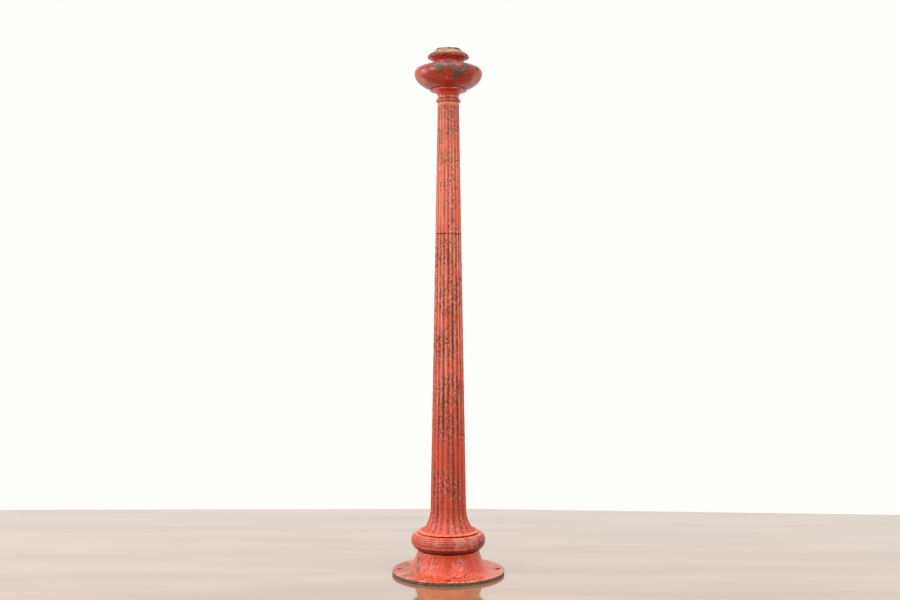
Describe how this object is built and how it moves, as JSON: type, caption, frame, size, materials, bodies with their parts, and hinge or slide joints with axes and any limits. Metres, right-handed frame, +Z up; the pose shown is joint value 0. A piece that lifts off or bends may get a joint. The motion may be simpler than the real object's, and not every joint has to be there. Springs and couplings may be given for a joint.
{
  "type": "fluted street post",
  "caption": "Tall fluted cast-iron street post in worn red paint: bolted round base, ring moulding, tapering shaft, bulb capital and flared cup with an open pipe collar.",
  "frame": {"origin": "on the floor under the centre of the base flange", "axes": "+Z up the post, -Y towards the viewer, anchor holes on the X and Y axes"},
  "size_m": [0.391, 0.391, 1.8288],
  "materials": {
    "red_paint": "old orange-red enamel on cast iron, bumpy, chipped, with dark grime in the flutes",
    "worn_collar": "old cream primer and rust over a pipe collar, dark spots",
    "bare_iron": "raw grey casting skin",
    "plain_steel": "dull rusted steel"
  },
  "bodies": {
    "root": {"base_casting": "red_paint", "torus_ring": "red_paint", "shaft_lower": "red_paint", "shaft_upper": "red_paint", "joint_pins": "red_paint", "neck_bead": "red_paint", "capital_neck": "red_paint", "capital_bulb": "red_paint", "top_cup": "red_paint", "top_collar": "worn_collar", "base_bridge": "bare_iron", "centring_plate": "bare_iron", "joint_sleeve": "bare_iron", "tie_pipe": "plain_steel", "bridge_bolts": "plain_steel", "bridge_washers": "plain_steel", "bottom_washer": "plain_steel", "bottom_nut": "plain_steel", "bottom_locknut": "plain_steel", "top_washer": "plain_steel", "top_nut": "plain_steel"}
  },
  "joints": []
}
